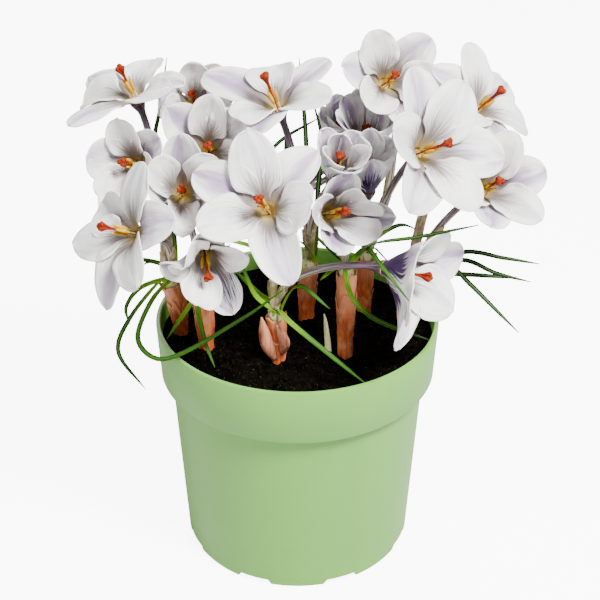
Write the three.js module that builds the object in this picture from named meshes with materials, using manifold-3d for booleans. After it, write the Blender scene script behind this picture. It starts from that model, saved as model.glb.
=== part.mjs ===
// Potted crocus: a nursery pot filled with soil, nine tufts of grassy leaves in
// papery sheaths, and nineteen open blooms.
// Millimetres, +Z up, the centre of the pot's underside at the origin, front toward -Y.

import * as THREE from "three";
import { mergeVertices } from "three/addons/utils/BufferGeometryUtils.js";
import Module from "manifold-3d";

const wasm = await Module();
wasm.setup();

const Vector = THREE.Vector3;
const UP = new Vector(0, 0, 1);
const GAP = 0.3; // between a piece and what it stands in
const degrees = THREE.MathUtils.degToRad;
const smooth = THREE.MathUtils.smoothstep;

// Pot

const POT = {
  height: 108.5,
  rimRadius: 60,
  lipWall: 2,
  collarDepth: 25,
  collarFootRadius: 58.7,
  wallTopRadius: 54.5,
  baseRadius: 49.6,
  wall: 1.5,
  floor: 1.8,
  baseRise: 3.2, // how far the floor stands up inside the foot ring
  footRing: 5,
  padRadius: 20,
  notches: 8,
  notchWidth: 13,
  drains: 8,
  drainRadius: 4,
  drainCircle: 34,
};

// Soil

const SOIL = {
  level: 98,
  rimLevel: 99.5,
  swell: 1.6,
};

// Sheaths and crowns: each tuft's place on the soil, how far its sheath rises, and its lean

const SHEATH = { radius: 3.7, foot: 2.7, wall: 0.5, depth: 13, pocket: 12 };
const CROWN_RADIUS = SHEATH.radius - SHEATH.wall - GAP;
const TUFTS = {
  1: { at: [-50, 0], rise: 26, lean: [-3.5, -1] },
  2: { at: [-38.5, -11], rise: 24, lean: [-1, 1] },
  3: { at: [-32, 22], rise: 30, lean: [-2, 1] },
  4: { at: [-8, -19], rise: 22, lean: [-1, 0] },
  5: { at: [4, 14], rise: 27, lean: [1, 1] },
  6: { at: [20, -16], rise: 40, lean: [0, 0] },
  7: { at: [29, 20], rise: 28, lean: [1, 0] },
  8: { at: [-4, 38], rise: 30, lean: [0, 2] },
  9: { at: [46, 0], rise: 26, lean: [2, -1] },
};

// Pointed scales that grow from a sheath's side. The girth follows half a wave, from the share
// first to the share last.

const SCALE = { first: 0.15, last: 0.97, sides: 6, rings: 3 };

// Tuft, radius, then the points that each scale passes, as places from the tuft's foot and
// heights over the soil
const SCALES = [
  [4, 2.2, [-1.4, -2, 1.5], [-4.6, -3.6, 10], [-6.6, -4.6, 23]],
  [4, 1.7, [1.6, -2, 4], [2.8, -4.6, 11], [-0.4, -5.8, 20]],
];

// Young shoot between two tufts: its place, how far it stands up, and its lean

const SPROUT = { at: [13, -15], radius: 1.4, tip: 0.5, rise: 20, depth: 6, lean: [-2, -1] };

// The photograph's camera: blooms and leaves are laid out by where they show in its frame

const VIEW = {
  frame: 600, // width and height, px
  focal: 1500, // px
  distance: 634,
  pitch: 30.9,
  aim: new Vector(1.1, 0, 115.4),
};
const FORWARD = new Vector(0, Math.cos(degrees(VIEW.pitch)), -Math.sin(degrees(VIEW.pitch)));
const RIGHT = new Vector(1, 0, 0);
const CAMERA_UP = RIGHT.clone().cross(FORWARD);
const CAMERA = VIEW.aim.clone().addScaledVector(FORWARD, -VIEW.distance);

// The point seen at pixel (u, v) on the upright plane at y.
function seen(u, v, y) {
  const ray = sightLine(u, v);
  return CAMERA.clone().addScaledVector(ray, (y - CAMERA.y) / ray.y);
}

function sightLine(u, v) {
  return FORWARD.clone()
    .addScaledVector(RIGHT, (u - VIEW.frame / 2) / VIEW.focal)
    .addScaledVector(CAMERA_UP, (VIEW.frame / 2 - v) / VIEW.focal);
}

// Blooms
// throat: pixel and y; facing: bearing from the front toward +X, and height over the horizon;
// open: how far outer and inner tepals lean from the bloom's line; tips: tepals whose tip's
// pixel is known, by number (even ones are outer, counted around the throat from roll)

const BLOOMS = {
  a: { tuft: 1, foot: 80, throat: [137, 101, 22], facing: [-50, 66], roll: 30, open: [74, 68], size: 31,
    tips: { 0: [184, 84], 1: [157, 63], 2: [78, 87], 3: [84, 108], 4: [67, 124], 5: [171, 90] } },
  b: { tuft: 3, foot: 90, throat: [195, 106, 46], facing: [0, 40], roll: 45, open: [42, 36], size: 31,
    tips: { 0: [222, 68], 1: [193, 59], 2: [162, 100] } },
  c: { tuft: 5, foot: 120, throat: [279, 111, 12], facing: [-44, 66], roll: 70, open: [76, 68], size: 33,
    tips: { 0: [330, 60], 1: [278, 65], 2: [203, 72], 3: [237, 119], 4: [253, 131] } },
  d: { tuft: 1, foot: 200, throat: [140, 165, 20], facing: [-20, 28], roll: 42, open: [44, 38], size: 31,
    tips: { 0: [157, 140], 1: [117, 118], 2: [91, 157], 3: [97, 197], 4: [101, 222] } },
  e: { tuft: 1, foot: -5, throat: [139, 234, -34], facing: [-56, 27], roll: 34, open: [72, 68], size: 31,
    tips: { 0: [171, 220], 1: [146, 163], 2: [104, 202], 3: [74, 242], 4: [105, 310],
      5: [138, 288] } },
  f: { tuft: 2, foot: 90, throat: [182, 195, -14], facing: [5, 34], roll: 88, open: [42, 36], size: 31,
    tips: { 0: [180, 133], 1: [146, 168], 2: [162, 205], 3: [182, 236], 4: [207, 213] } },
  g: { tuft: 3, foot: -30, throat: [208, 151, 14], facing: [4, 32], roll: 28, open: [48, 42], size: 31,
    tips: { 0: [240, 120], 1: [212, 92], 2: [166, 108], 4: [215, 212] } },
  h: { tuft: 4, foot: -140, throat: [268, 212, -42], facing: [-13, 42], roll: 45, open: [80, 66], size: 32,
    tips: { 0: [317, 149], 1: [247, 131], 2: [193, 172], 3: [197, 229], 4: [291, 285],
      5: [313, 203] } },
  i: { tuft: 2, foot: -50, throat: [204, 248, -34], facing: [8, -12], roll: -50, open: [36, 30], size: 30,
    tips: { 0: [231, 314], 1: [247, 251], 2: [199, 235], 4: [166, 264], 5: [199, 304] } },
  j: { tuft: 8, foot: 120, throat: [339, 150, 52], facing: [0, 72], roll: 40, open: [25, 21], size: 27,
    tips: { 0: [350, 96], 2: [322, 112] } },
  k: { tuft: 8, foot: 0, throat: [364, 152, 32], facing: [5, 66], roll: 90, open: [26, 22], size: 27,
    tips: { 0: [365, 88], 1: [346, 97], 2: [342, 116], 5: [383, 104] } },
  l: { tuft: 5, foot: 12, throat: [334, 178, -11], facing: [14, 58], roll: 30, open: [26, 22], size: 28,
    sway: [-3, -2, 0],
    tips: { 0: [356, 138], 1: [343, 131], 2: [326, 133] } },
  m: { tuft: 7, foot: 170, throat: [368, 190, 0], facing: [0, 74], roll: 30, open: [24, 20], size: 26,
    tips: { 0: [392, 140], 1: [370, 128], 2: [350, 142], 3: [354, 173], 4: [372, 160],
      5: [396, 156] } },
  n: { tuft: 6, foot: 120, throat: [326, 214, -16], facing: [28, 28], roll: -14, open: [38, 30], size: 31,
    tips: { 0: [394, 217], 1: [371, 198], 2: [350, 178], 3: [312, 214], 4: [340, 249],
      5: [373, 238] } },
  o: { tuft: 7, foot: 30, throat: [384, 84, 38], facing: [14, 34], roll: 42, open: [48, 42], size: 32,
    sway: [12, 4, 0],
    tips: { 0: [430, 38], 1: [370, 30], 2: [343, 66] } },
  p: { tuft: 9, foot: 90, throat: [474, 113, 20], facing: [56, 48], roll: 0, open: [74, 66], size: 30,
    tips: { 0: [509, 82], 1: [468, 44], 2: [432, 68], 4: [508, 152], 5: [527, 132] } },
  q: { tuft: 7, foot: -90, throat: [417, 154, -22], facing: [42, 33], roll: -25, open: [64, 56], size: 33,
    sway: [6, -4, 0],
    tips: { 0: [507, 157], 1: [466, 82], 2: [412, 67], 3: [389, 132], 4: [412, 212],
      5: [474, 212] } },
  r: { tuft: 9, foot: -30, throat: [481, 191, -8], facing: [22, 38], roll: 4, open: [46, 42], size: 31,
    tips: { 0: [546, 170], 4: [492, 223], 5: [541, 220] } },
  s: { tuft: 4, foot: -75, throat: [384, 268, -38], facing: [62, 3], roll: -5, open: [58, 52], size: 33,
    tips: { 0: [463, 253], 1: [449, 232], 2: [419, 250], 3: [411, 317], 4: [400, 351],
      5: [452, 311] } },
};

const TEPAL = {
  thickness: 0.65,
  width: 0.64, // of the length
  innerShare: 0.95, // an inner tepal's length over an outer one's
  rings: 4,
  nest: [0.6, -0.6], // how far outer and inner tepals stand out from the bell they share
  swing: 34, // most degrees that a tepal stands off its even place around the throat
};
const TUBE = { foot: 0.7, neck: 1.15, throat: 3.2, funnel: 9, rings: 4, seat: 5 };
const HEART = {
  reach: 0.6, // of the bloom's size
  radius: 1.1,
  style: 0.35,
  stigma: 2,
  pocket: 4,
  stamen: 12,
};

// Leaves: tuft, then pixel and y of the points that each one passes, tip last

const LEAF = { width: 2.1, thickness: 0.7, rings: 5, step: degrees(45), tilt: degrees(35) };
const LEAVES = [
  [1, [130, 318, -6], [118, 350, -14], [146, 390, -24]],
  [1, [140, 288, -6], [126, 308, -10], [130, 325, -14]],
  [1, [152, 300, -17], [138, 340, -26], [158, 359, -34], [240, 320, -42], [287, 287, -48]],
  [1, [172, 220, 22], [154, 150, 36], [160, 108, 46], [167, 57, 54]],
  [1, [162, 264, 10], [125, 257, 4], [95, 254, -4]],
  [1, [150, 262, 24], [124, 280, 40]],
  [2, [198, 302, -20], [204, 338, -32], [215, 368, -40]],
  [2, [214, 262, -6], [226, 250, -2]],
  [2, [184, 314, -17], [167, 339, -22]],
  [3, [222, 232, 52], [205, 262, 72]],
  [3, [236, 190, 44], [228, 150, 58]],
  [3, [252, 190, 36], [275, 146, 40], [320, 117, 46]],
  [3, [256, 248, 26], [284, 270, 22], [306, 283, 20]],
  [4, [290, 322, -30], [330, 355, -40], [366, 384, -50]],
  [4, [262, 296, -14], [245, 280, -8], [232, 268, -2]],
  [4, [256, 296, -20], [247, 278, -18], [241, 260, -14]],
  [4, [299, 286, -26], [330, 309, -34]],
  [5, [306, 200, 24], [306, 140, 34], [299, 56, 44]],
  [5, [318, 190, 26], [322, 142, 32], [313, 100, 36]],
  [5, [296, 240, 0], [288, 250, -8]],
  [6, [351, 295, -26], [372, 317, -32], [429, 340, -40]],
  [6, [334, 268, -24], [320, 280, -30]],
  [6, [366, 248, -38], [384, 269, -56], [409, 301, -66]],
  [6, [374, 244, -46], [418, 237, -64], [479, 225, -70]],
  [7, [400, 225, 44], [432, 240, 66]],
  [7, [388, 262, 30], [412, 290, 24]],
  [8, [284, 185, 42], [286, 140, 50], [283, 118, 54]],
  [8, [330, 210, 60], [345, 235, 84]],
  [8, [300, 205, 58], [280, 228, 82]],
  [8, [340, 258, 44], [368, 278, 40]],
  [9, [464, 252, -2], [504, 258, -6], [540, 264, -10]],
  [9, [462, 260, -4], [496, 273, -8], [531, 282, -12]],
  [9, [447, 274, -2], [519, 278, -4]],
  [9, [452, 269, -6], [470, 284, -10], [493, 307, -16], [519, 333, -22]],
  [9, [430, 250, 20], [470, 262, 36]],
];

// Solids

function solid(geometry) {
  const bare = geometry.clone();
  bare.deleteAttribute("normal");
  bare.deleteAttribute("uv");
  const welded = mergeVertices(bare, 1e-4);
  return new wasm.Manifold(
    new wasm.Mesh({
      numProp: 3,
      vertProperties: new Float32Array(welded.attributes.position.array),
      triVerts: new Uint32Array(welded.index.array),
    }),
  );
}

function geometryOf(body) {
  const mesh = body.getMesh();
  const geometry = new THREE.BufferGeometry();
  geometry.setAttribute("position", new THREE.BufferAttribute(mesh.vertProperties, 3));
  geometry.setIndex(new THREE.BufferAttribute(mesh.triVerts, 1));
  return geometry;
}

function joined(bodies) {
  return bodies.reduce((whole, body) => whole.add(body));
}

// Moves each vertex of a geometry to where place(x, y, z) says.
function reshape(geometry, place) {
  const spots = geometry.attributes.position;
  for (let i = 0; i < spots.count; i += 1) {
    const spot = place(spots.getX(i), spots.getY(i), spots.getZ(i));
    spots.setXYZ(i, spot.x, spot.y, spot.z);
  }
  return geometry;
}

function turned(points, segments) {
  const profile = points.map(([r, z]) => new THREE.Vector2(r, z));
  return new THREE.LatheGeometry(profile, segments).rotateX(Math.PI / 2);
}

function rod(from, line, length, radius, sides = 12) {
  const turn = new THREE.Quaternion().setFromUnitVectors(new Vector(0, 1, 0), line);
  const middle = from.clone().addScaledVector(line, length / 2);
  return new THREE.CylinderGeometry(radius, radius, length, sides)
    .applyQuaternion(turn)
    .translate(middle.x, middle.y, middle.z);
}

// A rod that follows a curve: radius(t) is its radius at share t of the way.
function swept(curve, radius, sides, rings) {
  const start = curve.getTangent(0);
  const side = new Vector(1, 0, 0);
  if (Math.abs(start.x) > 0.9) side.set(0, 1, 0);
  side.addScaledVector(start, -side.dot(start)).normalize();
  const sections = [];
  for (let i = 0; i <= rings; i += 1) {
    const t = i / rings;
    const line = curve.getTangent(t);
    side.addScaledVector(line, -side.dot(line)).normalize();
    const other = line.clone().cross(side);
    sections.push({ centre: curve.getPoint(t), side: side.clone(), other, size: radius(t) });
  }
  const geometry = new THREE.CylinderGeometry(1, 1, 1, sides, rings);
  return reshape(geometry, (x, y, z) => {
    const section = sections[Math.round((y + 0.5) * rings)];
    return section.centre
      .clone()
      .addScaledVector(section.side, z * section.size)
      .addScaledVector(section.other, x * section.size);
  });
}

// A thin blade, split into triangles alike on both faces. place(s, v, side) gives the point at
// share s of its length, v across from -1 to 1, on the face side (-1 or 1).
function blade(across, along, place) {
  const geometry = new THREE.BoxGeometry(2, 2, 1, across, 1, along);
  const under = geometry.groups[3];
  for (let i = under.start; i < under.start + under.count; i += 6) {
    const [a, b, d, , c] = geometry.index.array.slice(i, i + 6);
    geometry.index.array.set([a, b, c, a, c, d], i);
  }
  return reshape(geometry, (x, y, z) => place(z + 0.5, x, y));
}

// Pot

function potBody() {
  const top = POT.height;
  const ledge = top - POT.collarDepth;
  const floorTop = POT.baseRise + POT.floor;
  const shell = turned(
    [
      [0, 0],
      [POT.padRadius, 0],
      [POT.padRadius + 1.5, POT.baseRise],
      [POT.baseRadius - POT.footRing, POT.baseRise],
      [POT.baseRadius - POT.footRing + 1, 0],
      [POT.baseRadius - 0.5, 0],
      [POT.wallTopRadius, ledge],
      [POT.collarFootRadius, ledge],
      [POT.rimRadius, top - 0.8],
      [POT.rimRadius - 0.6, top],
      [POT.rimRadius - POT.lipWall + 0.3, top],
      [POT.rimRadius - POT.lipWall, top - 0.8],
      [POT.collarFootRadius - POT.wall, ledge + 2],
      [POT.wallTopRadius - POT.wall, ledge - 2],
      [POT.baseRadius - POT.wall, floorTop],
      [0, floorTop],
    ],
    36,
  );
  let body = solid(shell);
  for (let i = 0; i < POT.drains; i += 1) {
    const turn = (2 * Math.PI * i) / POT.drains;
    const line = new Vector(Math.cos(turn), Math.sin(turn), 0);
    const hole = line.clone().multiplyScalar(POT.drainCircle).setZ(-1);
    body = body.subtract(solid(rod(hole, UP, floorTop + 2, POT.drainRadius, 10)));
  }
  for (let i = 0; i < POT.notches; i += 1) {
    const turn = (2 * Math.PI * (i + 0.5)) / POT.notches;
    const notch = new THREE.BoxGeometry(POT.footRing * 4, POT.notchWidth, 2 * (POT.baseRise - 0.6))
      .translate(POT.baseRadius, 0, 0)
      .rotateZ(turn);
    body = body.subtract(solid(notch));
  }
  return body;
}

// Soil

function soilHeight(x, y) {
  const share = Math.hypot(x, y) / (POT.rimRadius - POT.lipWall);
  const level = SOIL.level + (SOIL.rimLevel - SOIL.level) * share * share;
  const waves =
    Math.sin(0.21 * x + 1.3) * Math.cos(0.18 * y - 0.4) +
    0.6 * Math.sin(0.43 * x - 0.31 * y + 2) +
    0.4 * Math.cos(0.37 * x + 0.52 * y);
  return level + (SOIL.swell / 2) * waves * (1 - smooth(share, 0.8, 0.98));
}

function soilBody() {
  const ledge = POT.height - POT.collarDepth;
  const floorTop = POT.baseRise + POT.floor;
  const lip = POT.rimRadius - POT.lipWall - 0.6;
  const rings = 5;
  const points = [
    [0, floorTop + GAP],
    [POT.baseRadius - POT.wall - 1.6, floorTop + GAP],
    [POT.wallTopRadius - POT.wall - GAP, ledge - 2.4],
    [POT.collarFootRadius - POT.wall - GAP, ledge + 1.8],
    [lip - 0.2, SOIL.rimLevel],
  ];
  for (let i = rings - 1; i >= 0; i -= 1) points.push([(lip * i) / rings, SOIL.level]);
  const mound = reshape(turned(points, 24), (x, y, z) => {
    const height = z < ledge + 5 ? z : soilHeight(x, y);
    return new Vector(x, y, height);
  });
  let body = solid(mound);
  const { depth: sheathDepth, foot } = SHEATH;
  const holes = Object.values(TUFTS).map(({ at }) => ({ at, depth: sheathDepth, radius: foot }));
  for (const { at, depth, radius } of [...holes, SPROUT]) {
    const bottom = new Vector(...at, soilHeight(...at) - depth - GAP);
    body = body.subtract(solid(rod(bottom, UP, 40, radius + 2 * GAP, 8)));
  }
  return body;
}

// Sheaths

// A tuft's middle line, from below the soil to its sheath's mouth.
function tuftPoint(tuft, height) {
  const [x, y] = tuft.at;
  const share = Math.max(0, height - 4) / (tuft.rise - 4);
  return new Vector(
    x + tuft.lean[0] * share * share,
    y + tuft.lean[1] * share * share,
    soilHeight(x, y) + height,
  );
}

function sheathBody(tuft, scales) {
  const { radius, foot, wall, depth, pocket } = SHEATH;
  const mouth = tuft.rise;
  const hollow = radius - wall;
  const sleeve = turned(
    [
      [0, -depth],
      [foot, -depth],
      [foot, 2.5],
      [radius, mouth - pocket],
      [radius - 0.1, mouth],
      [hollow, mouth],
      [hollow, mouth - pocket],
      [0, mouth - pocket],
    ],
    8,
  );
  const tube = reshape(sleeve, (x, y, z) => {
    const centre = tuftPoint(tuft, z);
    return new Vector(centre.x + x, centre.y + y, centre.z);
  });
  return joined([solid(tube), ...scales.map(([size, ...points]) => scaleBody(tuft, size, points))]);
}

function scaleBody(tuft, size, points) {
  const ground = new Vector(...tuft.at, soilHeight(...tuft.at));
  const stops = points.map((point) => new Vector(...point).add(ground));
  const { first, last, sides, rings } = SCALE;
  const swell = (t) => size * Math.sin(Math.PI * THREE.MathUtils.lerp(first, last, t));
  return solid(swept(new THREE.CatmullRomCurve3(stops), swell, sides, rings));
}

function sproutBody() {
  const [x, y] = SPROUT.at;
  const ground = soilHeight(x, y);
  const curve = new THREE.QuadraticBezierCurve3(
    new Vector(x, y, ground - SPROUT.depth),
    new Vector(x, y, ground + SPROUT.rise / 2),
    new Vector(x + SPROUT.lean[0], y + SPROUT.lean[1], ground + SPROUT.rise),
  );
  const taper = (t) => THREE.MathUtils.lerp(SPROUT.radius, SPROUT.tip, t ** 2);
  return solid(swept(curve, taper, 6, 3));
}

// Blooms

function facingLine([bearing, height]) {
  const a = degrees(bearing);
  const e = degrees(height);
  return new Vector(Math.sin(a) * Math.cos(e), -Math.cos(a) * Math.cos(e), Math.sin(e));
}

// The bloom's own axes: its line, and two more across it, the second one upright.
function bloomAxes(bloom) {
  const line = facingLine(bloom.facing);
  const high = UP.clone().addScaledVector(line, -UP.dot(line)).normalize();
  return { line, wide: high.clone().cross(line), high };
}

// Where tepal k's tip is. A known pixel moves it across the view, and its reach stays near
// the bloom's size.
function tepalTip(bloom, throat, axes, k) {
  const outer = k % 2 === 0;
  const reach = bloom.size * (outer ? 1 : TEPAL.innerShare);
  const turn = degrees(bloom.roll + 60 * k);
  const lean = degrees(bloom.open[k % 2]);
  const tip = throat
    .clone()
    .addScaledVector(axes.line, reach * Math.cos(lean))
    .addScaledVector(axes.wide, reach * Math.sin(lean) * Math.cos(turn))
    .addScaledVector(axes.high, reach * Math.sin(lean) * Math.sin(turn));
  const pixel = bloom.tips[k];
  if (!pixel) return tip;
  const ray = sightLine(...pixel).normalize();
  const level = ray.dot(throat.clone().sub(CAMERA));
  const nearest = CAMERA.clone().addScaledVector(ray, level);
  const aside = nearest.distanceTo(throat);
  const depth = ray.dot(tip.clone().sub(CAMERA)) - level;
  const most = Math.sqrt(Math.max(0, (1.12 * reach) ** 2 - aside ** 2));
  const least = Math.sqrt(Math.max(0, (0.88 * reach) ** 2 - aside ** 2));
  const along = Math.sign(depth) * THREE.MathUtils.clamp(Math.abs(depth), least, most);
  return nearest.addScaledVector(ray, along);
}

// Share of a tepal's full half width at share s of its length.
function tepalOutline(s) {
  const claw = 0.2 + 0.8 * smooth(s, 0.02, 0.6);
  const end = s > 0.55 ? Math.sqrt(1 - 0.97 * ((s - 0.55) / 0.45) ** 2.3) : 1;
  return claw * end;
}

// The bloom's bell: for each tepal the turn it stands at, and its middle line as distances
// out from the bloom's line and along it.
function bellOf(bloom, throat, axes) {
  return [0, 1, 2, 3, 4, 5].map((k) => {
    const arm = tepalTip(bloom, throat, axes, k).sub(throat);
    const reach = arm.length();
    const height = arm.dot(axes.line);
    const out = Math.sqrt(reach * reach - height * height);
    const even = degrees(bloom.roll + 60 * k);
    const off = Math.atan2(arm.dot(axes.high), arm.dot(axes.wide)) - even;
    const swing = degrees(TEPAL.swing);
    const turn = THREE.MathUtils.clamp(Math.atan2(Math.sin(off), Math.cos(off)), -swing, swing);
    const middle = new THREE.QuadraticBezierCurve(
      new THREE.Vector2(TUBE.throat - 0.8, 0),
      new THREE.Vector2(0.3 * reach, 0.3 * reach + 0.16 * height),
      new THREE.Vector2(out, height),
    );
    return { turn: even + turn, reach, middle };
  });
}

// The turn from tepal k to the one that stands by steps further around.
function turnTo(bell, k, by) {
  const turn = bell[(k + by + 6) % 6].turn - bell[k].turn;
  return Math.atan2(Math.sin(turn - by), Math.cos(turn - by)) + by;
}

// The point of tepal k at share s of its length, v across, on its outer (1) or inner (-1) face.
function tepalSurface(bloom, throat, axes, bell, k) {
  const { turn, reach, middle } = bell[k];
  const half = (TEPAL.width * reach) / 2;
  return (s, v, face) => {
    const spot = middle.getPoint(s);
    const side = v < 0 ? -1 : 1;
    const next = turnTo(bell, k, side);
    const most = s <= 1 / TEPAL.rings ? Math.abs(next) / 2 : Math.abs(turnTo(bell, k, 2 * side)) / 2;
    const spread = v * Math.min((half * tepalOutline(s)) / spot.x, most - 0.03);
    const share = smooth(Math.min(1, spread / next), 0, 1);
    const beside = bell[(k + side + 6) % 6].middle.getPoint(s);
    const way = middle.getTangent(s);
    const stand =
      TEPAL.nest[k % 2] * Math.min(1, s * TEPAL.rings) + (face * TEPAL.thickness) / 2;
    const out = spot.x + (beside.x - spot.x) * share + way.y * stand;
    const height = spot.y + (beside.y - spot.y) * share - way.x * stand;
    return around(throat, axes, turn + spread, out, height);
  };
}

function around(throat, axes, turn, out, height) {
  return throat
    .clone()
    .addScaledVector(axes.line, height)
    .addScaledVector(axes.wide, out * Math.cos(turn))
    .addScaledVector(axes.high, out * Math.sin(turn));
}

function tubeCurve(bloom, foot, throat, axes) {
  const span = throat.distanceTo(foot);
  const sway = bloom.sway ?? [0, 0, 0];
  return new THREE.CubicBezierCurve3(
    foot,
    foot.clone().addScaledVector(UP, span * 0.4).add(new Vector(...sway)),
    throat.clone().addScaledVector(axes.line, -span * 0.25).add(new Vector(...sway)),
    throat.clone(),
  );
}

// Each bloom's tube stands in its own hole in the crown of its tuft.
function tubeFoot(bloom) {
  const tuft = TUFTS[bloom.tuft];
  const turn = degrees(bloom.foot);
  const top = tuftPoint(tuft, tuft.rise);
  return new Vector(top.x + 1.3 * Math.cos(turn), top.y + 1.3 * Math.sin(turn), top.z + 2);
}

// A closed surface put together from rings of points and from blades that grow out of them.
class Surface {
  constructor() {
    this.points = [];
    this.faces = [];
  }

  add(point) {
    this.points.push(point.x, point.y, point.z);
    return this.points.length / 3 - 1;
  }

  ring(points) {
    return points.map((point) => this.add(point));
  }

  face(...corners) {
    for (let i = 2; i < corners.length; i += 1) {
      this.faces.push(corners[0], corners[i - 1], corners[i]);
    }
  }

  // Joins two rings of equally many points, the second one farther along.
  band(near, far) {
    near.forEach((corner, i) => {
      const j = (i + 1) % near.length;
      this.face(corner, near[j], far[j], far[i]);
    });
  }

  solid() {
    const geometry = new THREE.BufferGeometry();
    geometry.setAttribute("position", new THREE.Float32BufferAttribute(this.points, 3));
    geometry.setIndex(this.faces);
    return solid(geometry);
  }
}

// Six tepals grow out of the tube's throat as one piece, around a blind pocket for the heart.
function bloomBody(bloom) {
  const foot = tubeFoot(bloom);
  const throat = seen(...bloom.throat);
  const axes = bloomAxes(bloom);
  const bell = bellOf(bloom, throat, axes);
  const six = [0, 1, 2, 3, 4, 5];
  const corners = six.map((k) => bell[k].turn + turnTo(bell, k, -1) / 2);
  const surface = new Surface();
  const ring = (centre, line, radius) =>
    surface.ring(
      corners.map((turn) => {
        const spoke = around(new Vector(), axes, turn, 1, 0);
        spoke.addScaledVector(line, -spoke.dot(line)).normalize();
        return centre.clone().addScaledVector(spoke, radius);
      }),
    );

  const curve = tubeCurve(bloom, foot, throat, axes);
  const length = curve.getLength();
  const below = ring(foot.clone().setZ(foot.z - TUBE.seat), UP, TUBE.foot);
  surface.face(...[...below].reverse());
  let last = below;
  for (let i = 0; i < TUBE.rings; i += 1) {
    const t = i / TUBE.rings;
    const radius =
      THREE.MathUtils.lerp(TUBE.foot, TUBE.neck, smooth(t, 0, 0.3)) +
      (TUBE.throat - TUBE.neck) * smooth(t, 1 - TUBE.funnel / length, 1);
    const next = ring(curve.getPoint(t), curve.getTangent(t), radius);
    surface.band(last, next);
    last = next;
  }

  const pit = HEART.radius + GAP + 0.2;
  const floor = throat.clone().addScaledVector(axes.line, -HEART.pocket - GAP);
  const outer = ring(throat, axes.line, TUBE.throat);
  const inner = ring(throat, axes.line, pit);
  const bottom = ring(floor, axes.line, pit);
  surface.face(...bottom);
  surface.band(inner, bottom);
  for (const k of six) {
    const next = (k + 1) % 6;
    const outside = surface.add(around(throat, axes, bell[k].turn, TUBE.throat, 0));
    const inside = surface.add(around(throat, axes, bell[k].turn, pit, 0));
    surface.face(last[k], outside, outer[k]);
    surface.face(last[k], last[next], outside);
    surface.face(last[next], outer[next], outside);
    surface.face(inner[k], inside, inner[next]);
    growTepal(surface, tepalSurface(bloom, throat, axes, bell, k), [
      [outer[k], outside, outer[next]],
      [inner[k], inside, inner[next]],
    ]);
  }
  return surface.solid();
}

function growTepal(surface, at, base) {
  let [outside, inside] = base;
  for (let i = 1; i <= TEPAL.rings; i += 1) {
    const s = i / TEPAL.rings;
    const nextOut = surface.ring([-1, 0, 1].map((v) => at(s, v, 1)));
    const nextIn = surface.ring([-1, 0, 1].map((v) => at(s, v, -1)));
    for (const j of [0, 1]) {
      surface.face(outside[j], outside[j + 1], nextOut[j + 1], nextOut[j]);
      surface.face(nextIn[j], nextIn[j + 1], inside[j + 1], inside[j]);
    }
    surface.face(inside[0], outside[0], nextOut[0], nextIn[0]);
    surface.face(outside[2], inside[2], nextIn[2], nextOut[2]);
    outside = nextOut;
    inside = nextIn;
  }
  surface.face(outside[0], outside[1], inside[1], inside[0]);
  surface.face(outside[1], outside[2], inside[2], inside[1]);
}

function heartBody(bloom) {
  const throat = seen(...bloom.throat);
  const axes = bloomAxes(bloom);
  const reach = bloom.size * HEART.reach;
  const along = (height) => throat.clone().addScaledVector(axes.line, height);
  const foot = new THREE.LineCurve3(along(-HEART.pocket), along(1));
  const style = new THREE.LineCurve3(along(0.5), along(reach));
  const flare = (t) => HEART.style + (HEART.stigma - HEART.style) * smooth(t, 0.6, 1) ** 2;
  const pieces = [
    solid(swept(foot, () => HEART.radius, 4, 1)),
    solid(swept(style, flare, 3, 2)),
  ];
  for (let i = 0; i < 3; i += 1) {
    const aside = axes.wide.clone().applyAxisAngle(axes.line, degrees(120 * i + 40));
    const stamen = new THREE.LineCurve3(
      along(0.6).addScaledVector(aside, 0.75),
      along(HEART.stamen).addScaledVector(aside, 3),
    );
    pieces.push(solid(swept(stamen, (t) => 0.3 + 0.5 * t, 3, 1)));
  }
  return joined(pieces);
}

// Tufts of leaves

// A leaf climbs out of the crown at the turn given, clear of its sheath, then follows the points.
// A lying blade turns its face from upright toward the front.
const LEAF_FACE = new Vector(0, -Math.sin(LEAF.tilt), Math.cos(LEAF.tilt));

function leafBody(top, turn, points) {
  const out = new Vector(Math.cos(turn), Math.sin(turn), 0);
  const start = top.clone().addScaledVector(out, CROWN_RADIUS - 0.4).setZ(top.z + GAP);
  const clear = start.clone().addScaledVector(UP, 2.4).addScaledVector(out, 0.3);
  const stops = [clear, ...points.map((point) => seen(...point))];
  const curve = new THREE.CatmullRomCurve3(stops, false, "centripetal");
  return solid(
    blade(1, LEAF.rings, (s, v, side) => {
      const share = Math.max(0, (s * LEAF.rings - 1) / (LEAF.rings - 1));
      const spot = s === 0 ? start.clone() : curve.getPointAt(share);
      const way = s === 0 ? UP.clone() : curve.getTangentAt(share);
      const flat = s === 0 ? out : new Vector(way.x, way.y, 0);
      const across = flat.clone().cross(s === 0 ? UP : LEAF_FACE);
      across.addScaledVector(way, -across.dot(way)).normalize();
      const thick = way.clone().cross(across);
      const width = (LEAF.width / 2) * (0.12 + 0.88 * (1 - s ** 3)) * (0.7 + 0.3 * smooth(s, 0, 0.3));
      return spot
        .addScaledVector(across, v * width)
        .addScaledVector(thick, (side * LEAF.thickness) / 2);
    }),
  );
}

// The turns at which a tuft's leaves start: side by side, near the way that each one goes.
function leafTurns(top, leaves) {
  const ways = leaves.map((points) => {
    const way = seen(...points[0]).sub(top);
    return Math.atan2(way.y, way.x);
  });
  const order = ways.map((_, i) => i).sort((i, j) => ways[i] - ways[j]);
  const step = Math.min((2 * Math.PI) / leaves.length, LEAF.step);
  const mean = ways.reduce((sum, way) => sum + way, 0) / ways.length;
  const turns = [];
  order.forEach((leaf, i) => {
    turns[leaf] = mean + (i - (leaves.length - 1) / 2) * step;
  });
  return turns;
}

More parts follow.
